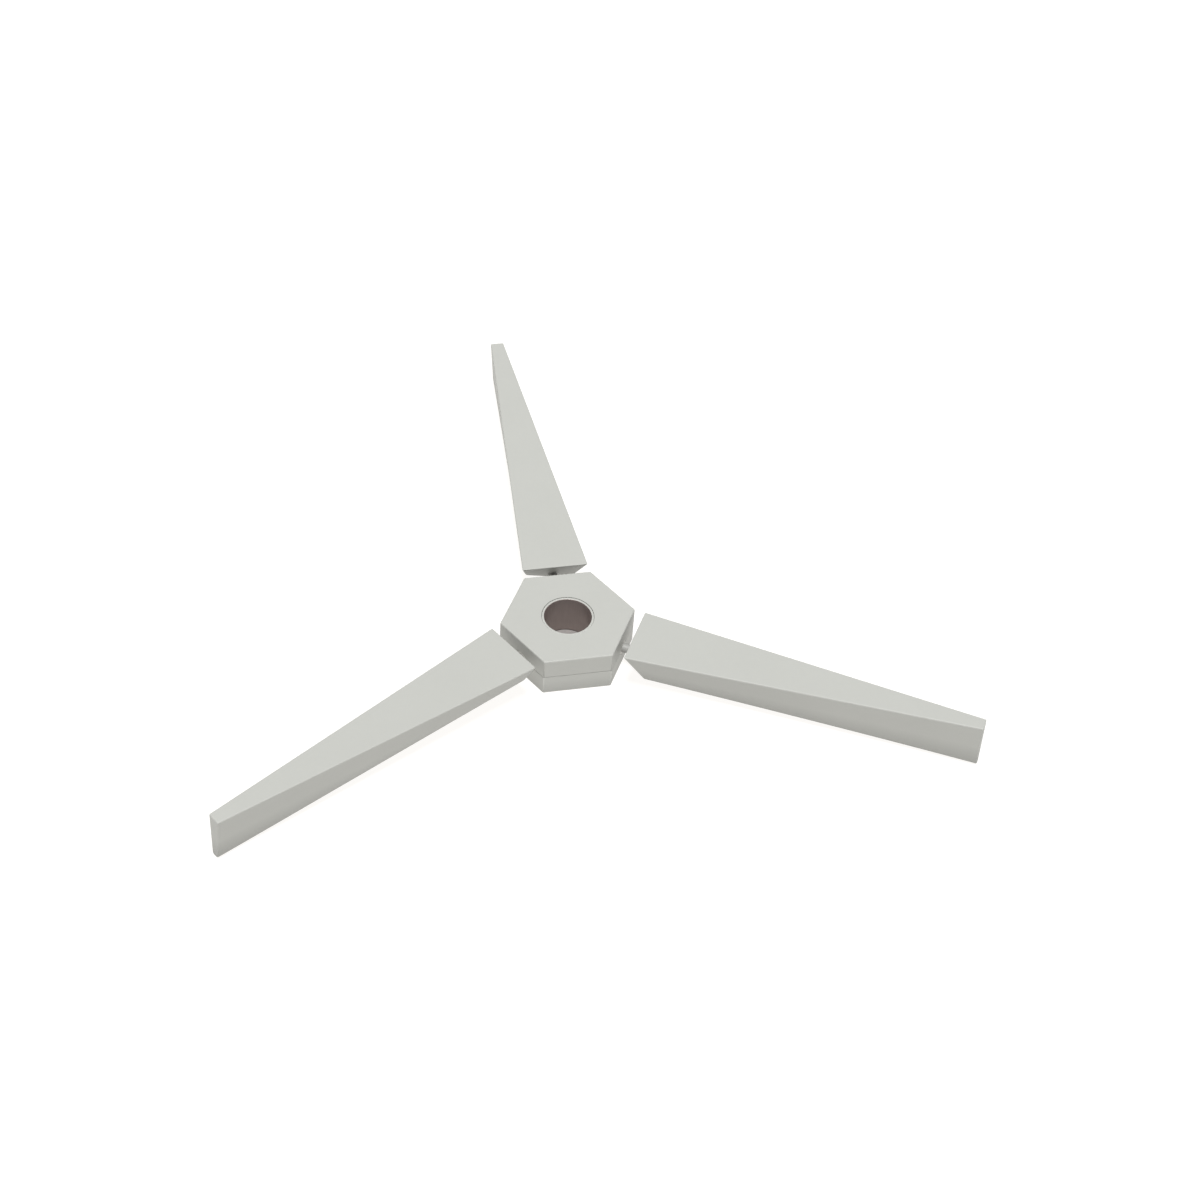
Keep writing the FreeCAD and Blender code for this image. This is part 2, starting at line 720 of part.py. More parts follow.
def main():
    """Build, check and write the rotor."""
    doc = FreeCAD.newDocument("rotor")
    make_sheet(doc)
    pieces = make_rotor(doc)
    check_document(doc, pieces)
    os.makedirs("parts", exist_ok=True)
    for piece in pieces:
        piece.Shape.exportStep(f"parts/{piece.Label}.step")
        solids = len(piece.Shape.Solids)
        print(f"{piece.Label}: {solids} solids, {piece.Shape.Volume:.1f} mm3")


main()
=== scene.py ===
import logging
import math
from dataclasses import dataclass, field
from enum import Enum
from typing import Any, Callable, Iterable, Optional, Sequence

import bmesh
import bpy
from mathutils import Matrix, Vector


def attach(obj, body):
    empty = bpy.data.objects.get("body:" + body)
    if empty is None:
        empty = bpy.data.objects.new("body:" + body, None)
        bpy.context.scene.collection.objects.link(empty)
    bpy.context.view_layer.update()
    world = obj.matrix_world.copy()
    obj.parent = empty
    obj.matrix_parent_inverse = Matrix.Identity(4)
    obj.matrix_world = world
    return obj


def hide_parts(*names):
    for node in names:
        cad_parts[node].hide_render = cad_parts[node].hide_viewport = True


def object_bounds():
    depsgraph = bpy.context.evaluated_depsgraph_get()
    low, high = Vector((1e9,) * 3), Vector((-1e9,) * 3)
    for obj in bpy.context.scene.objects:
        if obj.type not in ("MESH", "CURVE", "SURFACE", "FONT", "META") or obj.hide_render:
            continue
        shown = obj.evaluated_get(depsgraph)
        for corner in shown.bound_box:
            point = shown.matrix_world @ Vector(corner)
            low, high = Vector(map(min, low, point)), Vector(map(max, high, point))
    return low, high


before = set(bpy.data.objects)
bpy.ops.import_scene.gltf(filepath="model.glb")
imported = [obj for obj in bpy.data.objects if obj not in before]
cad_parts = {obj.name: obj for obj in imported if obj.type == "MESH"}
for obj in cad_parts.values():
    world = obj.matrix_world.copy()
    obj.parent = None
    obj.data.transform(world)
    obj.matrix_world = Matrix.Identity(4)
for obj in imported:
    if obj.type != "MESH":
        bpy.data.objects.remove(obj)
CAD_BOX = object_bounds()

LOG = logging.getLogger("rotor")
MM = 0.001
BLADE_ANGLES = {1: 90.0, 2: 210.0, 3: 330.0}
FIRST_BLADE_ANGLE = BLADE_ANGLES[1]
BLADE_COUNT = len(BLADE_ANGLES)
HUB_CORNERS = 6
HUB_TOP = 9.4 * MM
BALL_CIRCLE = 13.9 * MM
PIN_PLACE = 45.0 * MM
CORNER_STEPS = 5

Point2 = tuple[float, float]
Colour = tuple[float, float, float]


class TurningAxis(Enum):
    """Direction that a turned piece's own axis takes."""

    UPRIGHT = "z"
    ALONG_X = "x"


# ---------------------------------------------------------------- shader tools

class Signal:
    """A shader value on which Python's arithmetic adds Math nodes."""

    def __init__(self, graph: "Graph", socket: bpy.types.NodeSocket) -> None:
        """Wrap an output socket of the graph."""
        self.graph = graph
        self.socket = socket

    def _math(self, operation: str, first: Any, second: Any) -> "Signal":
        """Add one Math node and return its result."""
        return self.graph.node("ShaderNodeMath", {"operation": operation},
                               {0: first, 1: second})

    def __add__(self, other: Any) -> "Signal":
        """Add a value."""
        return self._math("ADD", self, other)

    def __radd__(self, other: Any) -> "Signal":
        """Add to a value."""
        return self._math("ADD", other, self)

    def __sub__(self, other: Any) -> "Signal":
        """Take a value away."""
        return self._math("SUBTRACT", self, other)

    def __rsub__(self, other: Any) -> "Signal":
        """Be taken away from a value."""
        return self._math("SUBTRACT", other, self)

    def __mul__(self, other: Any) -> "Signal":
        """Multiply by a value."""
        return self._math("MULTIPLY", self, other)

    def __rmul__(self, other: Any) -> "Signal":
        """Multiply a value."""
        return self._math("MULTIPLY", other, self)

    def clamped(self, low: float, high: float) -> "Signal":
        """Keep the value between two limits."""
        return self.graph.node("ShaderNodeClamp", {}, {"Value": self, "Min": low, "Max": high})


class Graph:
    """Builds the node tree of one material around a Principled shader."""

    def __init__(self, name: str) -> None:
        """Start an empty material with its shader and output."""
        self.material = bpy.data.materials.new(name)
        self.material.use_nodes = True
        self.tree = self.material.node_tree
        self.tree.nodes.clear()
        self.shader = self.tree.nodes.new("ShaderNodeBsdfPrincipled")
        output = self.tree.nodes.new("ShaderNodeOutputMaterial")
        self.tree.links.new(self.shader.outputs[0], output.inputs["Surface"])
        coordinates = self.tree.nodes.new("ShaderNodeTexCoord")
        self.place = Signal(self, coordinates.outputs["Object"])
        self.facing = Signal(self, coordinates.outputs["Normal"])

    def plug(self, socket: bpy.types.NodeSocket, value: Any) -> None:
        """Link a signal to a socket, or set the socket's own value."""
        if isinstance(value, Signal):
            self.tree.links.new(value.socket, socket)
        else:
            socket.default_value = value

    def node(self, kind: str, settings: dict[str, Any], inputs: dict[Any, Any],
             output: Any = 0) -> Signal:
        """Add a node.

        Args:
            kind: The node's type.
            settings: Its properties, set before its sockets.
            inputs: A value or a signal for each named or numbered socket.
            output: The name or number of the output to return.

        Returns:
            The chosen output.
        """
        made = self.tree.nodes.new(kind)
        for name, value in settings.items():
            setattr(made, name, value)
        for name, value in inputs.items():
            self.plug(made.inputs[name], value)
        return Signal(self, made.outputs[output])

    def stretched(self, scale: Sequence[float]) -> Signal:
        """Scale the place so that a pattern is drawn out along an axis."""
        return self.node("ShaderNodeMapping", {}, {"Vector": self.place, "Scale": tuple(scale)})

    def _length(self, axes: Sequence[float]) -> Signal:
        """Give the place's distance from the origin along chosen axes."""
        return self.node("ShaderNodeVectorMath", {"operation": "LENGTH"},
                         {0: self.stretched(axes)}, "Value")

    def from_axis(self) -> Signal:
        """Give the distance from the rotor's axis."""
        return self._length((1.0, 1.0, 0.0))

    def from_parting(self) -> Signal:
        """Give the distance above or below the hub's parting plane."""
        return self._length((0.0, 0.0, 1.0))

    def _upright(self, vector: Signal) -> Signal:
        """Give the upright part of a vector."""
        return self.node("ShaderNodeSeparateXYZ", {}, {0: vector}, "Z")

    @staticmethod
    def ramp(value: Signal, start: float, full: float) -> Signal:
        """Give a mask that goes from 0 at one value to 1 at another."""
        return ((value - start) * (1.0 / (full - start))).clamped(0.0, 1.0)

    def turned_down(self, start: float, full: float) -> Signal:
        """Give a mask of how far a face looks down, from none at one tilt to all at another."""
        return self.ramp(self._upright(self.facing), -start, -full)

    def below(self, start: float, full: float) -> Signal:
        """Give a mask of how low a place lies, from none at one height to all at another."""
        return self.ramp(self._upright(self.place), start, full)

    def beyond(self, reach: Signal, limit: float, softness: float) -> Signal:
        """Give a mask that rises from 0 to 1 where a distance passes a limit."""
        return self.ramp(reach, limit, limit + softness)

    def tool_marks(self, waves: float, stretch: Sequence[float]) -> tuple[Signal, Signal]:
        """Give tool marks drawn out along an axis, and the mask of bright places in them."""
        marks = self.noise(waves, 4.0, self.stretched(stretch))
        tarnish = self.noise(140.0, 3.0)
        return marks, (marks * 0.6 + tarnish * 0.7 - 0.3).clamped(0.0, 1.0)

    def noise(self, scale: float, detail: float = 3.0, place: Optional[Signal] = None) -> Signal:
        """Give smooth noise from 0 to 1, with its scale in waves per metre."""
        return self.node("ShaderNodeTexNoise", {"noise_dimensions": "3D"},
                         {"Vector": place or self.place, "Scale": scale, "Detail": detail},
                         "Fac")

    def blend(self, mask: Any, first: Any, second: Any) -> Signal:
        """Mix two colours by a mask."""
        settings = {"data_type": "RGBA", "clamp_factor": True}
        colours = [c if isinstance(c, Signal) else (*c, 1.0) for c in (first, second)]
        return self.node("ShaderNodeMix", settings, {0: mask, 6: colours[0], 7: colours[1]}, 2)

    def bump(self, height: Signal, strength: float, depth: float) -> None:
        """Let a height signal disturb the shader's normal."""
        normal = self.node("ShaderNodeBump", {},
                           {"Height": height, "Strength": strength, "Distance": depth},
                           "Normal")
        self.plug(self.shader.inputs["Normal"], normal)

    def set(self, **values: Any) -> None:
        """Set the shader's sockets, named with underscores for spaces."""
        for name, value in values.items():
            if name == "Base_Color" and not isinstance(value, Signal):
                value = (*value, 1.0)
            self.plug(self.shader.inputs[name.replace("_", " ")], value)


# ---------------------------------------------------------------- finishes

PALE: Colour = (0.50, 0.505, 0.475)
PALE_DEEP: Colour = (0.475, 0.48, 0.45)
MARK_RELIEF = 0.18
MARK_DEPTH = 0.06 * MM


@dataclass(frozen=True)
class MouldedPlastic:
    """Pale matt moulding with a faint grain, with painted shade on faces that look down and towards
    its base.
    """

    name: str
    shade: Colour
    deep_shade: Colour
    roughness: float = 0.52
    mottle_waves: float = 55.0
    flow_waves: float = 420.0
    grain_waves: float = 2600.0
    flow: tuple[float, float, float] = (1.0, 1.0, 1.0)
    # Painted shade: a dark colour mixed into faces that look down and towards the bottom, standing in
    # for the shade that falls there.
    painted_shade_colour: Colour = (0.24, 0.24, 0.225)
    underside_painted_shade: float = 0.6
    underside_shade_start: float = 0.12
    underside_shade_full: float = 0.60
    # Painted shade towards the bottom: the colour darkens from one height down to a lower one, for the
    # contact shade near the floor.
    base_painted_shade: float = 0.32
    base_shade_start: float = -2.5 * MM
    base_shade_full: float = -8.5 * MM
    relief: float = 0.12
    relief_depth: float = 0.12 * MM

    def build(self) -> bpy.types.Material:
        """Make the material."""
        graph = Graph(self.name)
        broad = graph.noise(self.mottle_waves, 2.0)
        flow = graph.noise(self.flow_waves, 3.0, graph.stretched(self.flow))
        grain = graph.noise(self.grain_waves, 2.0)
        mask = (broad * 0.7 + flow * 0.5 - 0.25).clamped(0.0, 1.0)
        skin = graph.blend(mask, self.deep_shade, self.shade)
        # Painted shade: faces that look down get the darker colour, for the shade under the blades and
        # hub.
        underside = graph.turned_down(self.underside_shade_start, self.underside_shade_full) * self.underside_painted_shade
        # Painted shade: the colour darkens towards the bottom, for the shade near the floor.
        base = graph.below(self.base_shade_start, self.base_shade_full) * self.base_painted_shade
        painted_shade_mix = (underside + base).clamped(0.0, 1.0)
        graph.set(Base_Color=graph.blend(painted_shade_mix, skin, self.painted_shade_colour),
                  Roughness=(self.roughness - 0.05 + flow * 0.1),
                  Specular_IOR_Level=0.42)
        graph.bump(grain * 0.35 + flow * 0.65, self.relief, self.relief_depth)
        return graph.material


@dataclass(frozen=True)
class TurnedMetal:
    """Metal with fine tool marks along or round its axis."""

    name: str
    shade: Colour
    dull_shade: Colour
    roughness: float = 0.32
    marks: tuple[float, float, float] = (1.0, 1.0, 14.0)
    mark_waves: float = 260.0
    metallic: float = 1.0

    def build(self) -> bpy.types.Material:
        """Make the material."""
        graph = Graph(self.name)
        marks, bright = graph.tool_marks(self.mark_waves, self.marks)
        graph.set(Base_Color=graph.blend(bright, self.dull_shade, self.shade),
                  Metallic=self.metallic,
                  Roughness=(self.roughness - 0.08 + marks * 0.2))
        graph.bump(marks, MARK_RELIEF, MARK_DEPTH)
        return graph.material


@dataclass(frozen=True)
class LinedSleeve:
    """Dull turned bore with painted reflection streaks running upright in its colour, between end
    faces that carry the hub's pale paint.
    """

    name: str
    shade: Colour
    dull_shade: Colour
    paint: Colour
    # The marks run upright: in the colour they are painted reflection streaks, and in roughness and
    # bump they are tool marks.
    marks: tuple[float, float, float] = (9.0, 9.0, 0.25)
    mark_waves: float = 260.0
    roughness: float = 0.40
    metallic: float = 0.6
    paint_roughness: float = 0.52
    paint_radius: float = 10.12 * MM
    paint_height: float = 8.95 * MM
    paint_fade: float = 0.08 * MM

    def build(self) -> bpy.types.Material:
        """Make the material."""
        graph = Graph(self.name)
        marks, bright = graph.tool_marks(self.mark_waves, self.marks)
        # Painted reflection: upright streaks of lighter and darker colour in the bore, mixed with
        # tarnish.
        metal = graph.blend(bright, self.dull_shade, self.shade)
        painted = (graph.beyond(graph.from_axis(), self.paint_radius, self.paint_fade)
                   * graph.beyond(graph.from_parting(), self.paint_height, self.paint_fade))
        metal_roughness = marks * 0.2 + (self.roughness - 0.08)
        graph.set(Base_Color=graph.blend(painted, metal, self.paint),
                  Metallic=(1 - painted) * self.metallic,
                  Roughness=metal_roughness * (1 - painted) + painted * self.paint_roughness)
        graph.bump(marks, MARK_RELIEF, MARK_DEPTH)
        return graph.material


@dataclass(frozen=True)
class PlainPolymer:
    """Nylon or rubber with a fine moulded skin."""

    name: str
    shade: Colour
    roughness: float
    skin_waves: float = 1800.0

    def build(self) -> bpy.types.Material:
        """Make the material."""
        graph = Graph(self.name)
        skin = graph.noise(self.skin_waves, 3.0)
        light = tuple(min(1.0, part * 1.12) for part in self.shade)
        graph.set(Base_Color=graph.blend(skin, self.shade, light),
                  Roughness=(self.roughness - 0.06 + skin * 0.12))
        graph.bump(skin, 0.15, 0.00005)
        return graph.material


FINISHES = {
    "hub_plastic": MouldedPlastic("moulded hub plastic", PALE, PALE_DEEP, flow=(1.0, 1.0, 9.0)),
    # The blades get stronger painted shade towards the bottom, starting higher up.
    "blade_plastic": MouldedPlastic("moulded blade plastic", PALE, PALE_DEEP, base_painted_shade=0.5,
                                    base_shade_start=2.0 * MM),
    "sleeve_steel": LinedSleeve("turned sleeve steel", (0.57, 0.495, 0.47), (0.40, 0.345, 0.325),
                                PALE),
    "bearing_steel": TurnedMetal("ground bearing steel", (0.70, 0.70, 0.71), (0.60, 0.60, 0.62),
                                 0.18),
    "shield_steel": TurnedMetal("pressed shield steel", (0.58, 0.58, 0.58), (0.46, 0.46, 0.47),
                                0.30),
    "fastener_steel": TurnedMetal("plated fastener steel", (0.46, 0.46, 0.47),
                                  (0.34, 0.34, 0.35), 0.36),
    "spindle_steel": TurnedMetal("plated spindle steel", (0.42, 0.42, 0.40), (0.36, 0.36, 0.345),
                                 0.60, metallic=0.2),
    "insert_brass": TurnedMetal("turned insert brass", (0.72, 0.55, 0.28), (0.55, 0.40, 0.18),
                                0.30),
    "cage_nylon": PlainPolymer("natural cage nylon", (0.70, 0.67, 0.57), 0.45),
    "bush_nylon": PlainPolymer("natural bush nylon", (0.62, 0.61, 0.57), 0.48),
    "ring_rubber": PlainPolymer("friction ring rubber", (0.028, 0.028, 0.028), 0.68),
}


class Finishes:
    """Makes each finish once and hands out its material by slot."""

    def __init__(self) -> None:
        """Start with nothing made."""
        self.made: dict[str, bpy.types.Material] = {}

    def __getitem__(self, slot: str) -> bpy.types.Material:
        """Return the material of a slot."""
        if slot not in self.made:
            self.made[slot] = FINISHES[slot].build()
        return self.made[slot]


# ---------------------------------------------------------------- mesh tools

def new_piece(name: str, mesh: bpy.types.Mesh) -> bpy.types.Object:
    """Put a mesh in the scene as an object at the origin."""
    piece = bpy.data.objects.new(name, mesh)
    bpy.context.scene.collection.objects.link(piece)
    return piece


def mesh_from(name: str, build: Callable[[bmesh.types.BMesh], None]) -> bpy.types.Mesh:
    """Run a builder on an empty bmesh and turn its result into a mesh.

    Args:
        name: The mesh's name.
        build: A function that fills the bmesh.

    Returns:
        The mesh, with its faces pointing outwards.
    """
    work = bmesh.new()
    build(work)
    bmesh.ops.remove_doubles(work, verts=work.verts, dist=1e-7)
    bmesh.ops.recalc_face_normals(work, faces=work.faces)
    mesh = bpy.data.meshes.new(name)
    work.to_mesh(mesh)
    work.free()
    return mesh


def bake(piece: bpy.types.Object) -> None:
    """Turn a piece's modifiers into plain mesh and remove them."""
    bpy.context.view_layer.update()
    evaluated = piece.evaluated_get(bpy.context.evaluated_depsgraph_get())
    mesh = bpy.data.meshes.new_from_object(evaluated)
    mesh.name = piece.name
    piece.modifiers.clear()
    piece.data = mesh


def shade_by_angle(piece: bpy.types.Object, degrees: float = 32.0) -> None:
    """Shade smoothly, but keep edges that turn by more than an angle sharp."""
    for face in piece.data.polygons:
        face.use_smooth = True
    piece.data.set_sharp_from_angle(angle=math.radians(degrees))


def keep_flats_flat(piece: bpy.types.Object) -> None:
    """Weigh the normals by face area, so that a rounded edge doesn't shade its flats."""
    weighing = piece.modifiers.new("weighed normals", "WEIGHTED_NORMAL")
    weighing.keep_sharp = True
    weighing.weight = 100
    bake(piece)


def bridge(work: bmesh.types.BMesh, first: list[bmesh.types.BMVert],
           second: list[bmesh.types.BMVert]) -> None:
    """Join two closed loops of equal length with quads."""
    count = len(first)
    for index in range(count):
        after = (index + 1) % count
        work.faces.new((first[index], first[after], second[after], second[index]))


def arc(centre: Point2, radius: float, first: float, sweep: float, steps: int) -> list[Point2]:
    """Trace an arc of a profile, from a first angle through a sweep, both in radians."""
    angles = (first + sweep * step / steps for step in range(steps + 1))
    return [(centre[0] + radius * math.cos(angle), centre[1] + radius * math.sin(angle))
            for angle in angles]


def turned(profile: Sequence[Point2], axis: TurningAxis = TurningAxis.UPRIGHT, closed: bool = False,
           steps: int = 72, ridges: Optional[Callable[[float, int], float]] = None,
           ) -> Callable[[bmesh.types.BMesh], None]:
    """Describe a piece turned on a lathe.

    Args:
        profile: Pairs of radius and place along the axis; a radius of 0 is a pole.
        axis: The direction of the turning axis.
        closed: Whether the profile's last point joins its first, as on a ring.
        steps: The number of divisions round the axis.
        ridges: A function of angle and profile point that gives an extra radius.

    Returns:
        A builder for mesh_from.
    """
    def build(work: bmesh.types.BMesh) -> None:
        """Fill the bmesh with the turned surface."""
        rings = []
        for index, (radius, along) in enumerate(profile):
            ring = []
            for step in range(steps):
                angle = 2 * math.pi * step / steps
                extra = ridges(angle, index) if ridges and radius > 0 else 0.0
                across = (radius + extra) * math.cos(angle)
                over = (radius + extra) * math.sin(angle)
                place = (across, over, along) if axis is TurningAxis.UPRIGHT else (along, across, over)
                ring.append(work.verts.new(place))
            rings.append(ring)
        for lower, upper in zip(rings, rings[1:] + rings[:1] if closed else rings[1:]):
            bridge(work, lower, upper)
    return build


def moved(mesh: bpy.types.Mesh, place: Matrix) -> bpy.types.Mesh:
    """Move a mesh's vertices and return it."""
    mesh.transform(place)
    return mesh


def turn_about_z(degrees: float) -> Matrix:
    """Give a turn about the rotor's axis."""
    return Matrix.Rotation(math.radians(degrees), 4, "Z")


@dataclass
class Ring:
    """Repeats one piece at equal angles round the rotor's axis with Geometry Nodes."""

    count: int
    first_angle: float
    material: bpy.types.Material

    @staticmethod
    def _build_tree() -> tuple[bpy.types.NodeTree, dict[str, str]]:
        """Build the tree and list the identifiers of its named inputs."""
        tree = bpy.data.node_groups.new("ring of pieces", "GeometryNodeTree")
        inputs = {"Piece": "NodeSocketGeometry", "Count": "NodeSocketInt",
                  "Angle Step": "NodeSocketFloat", "First Angle": "NodeSocketFloat",
                  "Material": "NodeSocketMaterial"}
        sockets = {}
        for name, kind in inputs.items():
            made = tree.interface.new_socket(name, in_out="INPUT", socket_type=kind)
            sockets[name] = made.identifier
        tree.interface.new_socket("Ring", in_out="OUTPUT", socket_type="NodeSocketGeometry")
        nodes = tree.nodes
        start, end = nodes.new("NodeGroupInput"), nodes.new("NodeGroupOutput")
        points = nodes.new("GeometryNodePoints")
        index = nodes.new("GeometryNodeInputIndex")
        turn = nodes.new("ShaderNodeMath")
        turn.operation = "MULTIPLY_ADD"
        rotation = nodes.new("ShaderNodeCombineXYZ")
        instances = nodes.new("GeometryNodeInstanceOnPoints")
        realize = nodes.new("GeometryNodeRealizeInstances")
        paint = nodes.new("GeometryNodeSetMaterial")
        wires = ((start, "Count", points, "Count"), (index, 0, turn, 0),
                 (start, "Angle Step", turn, 1), (start, "First Angle", turn, 2),
                 (turn, 0, rotation, "Z"), (points, 0, instances, "Points"),
                 (start, "Piece", instances, "Instance"), (rotation, 0, instances, "Rotation"),
                 (instances, 0, realize, 0), (realize, 0, paint, "Geometry"),
                 (start, "Material", paint, "Material"), (paint, 0, end, 0))
        for source, output, target, socket in wires:
            tree.links.new(source.outputs[output], target.inputs[socket])
        return tree, sockets

    def apply(self, piece: bpy.types.Object) -> None:
        """Replace a single piece with the whole ring as a plain mesh."""
        tree, sockets = self._build_tree()
        modifier = piece.modifiers.new("ring", "NODES")
        modifier.node_group = tree
        inputs = {"Count": self.count, "Angle Step": 2 * math.pi / self.count,
                  "First Angle": math.radians(self.first_angle), "Material": self.material}
        for name, value in inputs.items():
            modifier[sockets[name]] = value
        bake(piece)


@dataclass
class Workshop:
    """Finishes pieces, hangs each on its body and hides the CAD nodes that it replaces."""

    finishes: Finishes = field(default_factory=Finishes)

    def deliver(self, piece: bpy.types.Object, body: str, slot: str,
                replaces: Iterable[str]) -> None:
        """Dress a finished piece and hand it to the frame.

        Args:
            piece: The piece, in place.
            body: The body that it moves with.
            slot: The record's material slot.
            replaces: The nodes that it stands for.
        """
        piece.data.materials.clear()
        piece.data.materials.append(self.finishes[slot])
        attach(piece, body)
        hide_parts(*replaces)
        LOG.info("%s: %d faces on %s", piece.name, len(piece.data.polygons), body)

    def dress(self, node: str, slot: str) -> None:
        """Give a kept CAD node its finish."""
        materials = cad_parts[node].data.materials
        materials.clear()
        materials.append(self.finishes[slot])
        LOG.info("%s: kept, in %s", node, slot)

    def single(self, name: str, mesh: bpy.types.Mesh, body: str, slot: str, node: str,
               degrees: float = 30.0) -> None:
        """Make one piece that rides on a body."""
        piece = new_piece(name, mesh)
        shade_by_angle(piece, degrees)
        self.deliver(piece, body, slot, [node])

    def ring(self, name: str, mesh: bpy.types.Mesh, count: int, first_angle: float, slot: str,
             node: str, body: str = "hub", degrees: float = 32.0) -> None:
        """Make a ring of equal pieces that ride on a body."""
        piece = new_piece(name, mesh)
        Ring(count, first_angle, self.finishes[slot]).apply(piece)
        shade_by_angle(piece, degrees)
        self.deliver(piece, body, slot, [node])


# ---------------------------------------------------------------- hub

@dataclass
class HubShell:
    """The two moulded halves of the hexagonal hub."""

    flat_angle: float = 0.4
    merge_distance: float = 0.002 * MM

    def build(self, workshop: Workshop) -> None:
        """Refine both halves from their nodes."""
        for node, name in (("upper_hub_half", "upper_hub_shell"),
                           ("lower_hub_half", "lower_hub_shell")):
            piece = self._refined(node, name)
            workshop.deliver(piece, "hub", "hub_plastic", [node])

    def _refined(self, node: str, name: str) -> bpy.types.Object:
        """Merge a copy of a node's mesh and clear the edges inside its flats."""
        work = bmesh.new()
        work.from_mesh(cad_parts[node].data)
        bmesh.ops.remove_doubles(work, verts=work.verts, dist=self.merge_distance)
        bmesh.ops.dissolve_limit(work, angle_limit=math.radians(self.flat_angle),
                                 verts=work.verts, edges=work.edges)
        mesh = bpy.data.meshes.new(name)
        work.to_mesh(mesh)
        work.free()
        piece = new_piece(name, mesh)
        shade_by_angle(piece, 30.0)
        keep_flats_flat(piece)
        return piece


# ---------------------------------------------------------------- blades

def sides(before: Vector, corner: Vector, after: Vector) -> tuple[Vector, Vector, float]:
    """Give the directions of a corner's two sides and half the angle between them."""
    back, ahead = (before - corner).normalized(), (after - corner).normalized()
    return back, ahead, back.angle(ahead) / 2


@dataclass
class BladeEnd:
    """One end section of a blade: corners as across and height, root or tip."""

    reach: float
    lean: float
    corners: tuple[Point2, Point2, Point2, Point2]
    keel_round: float


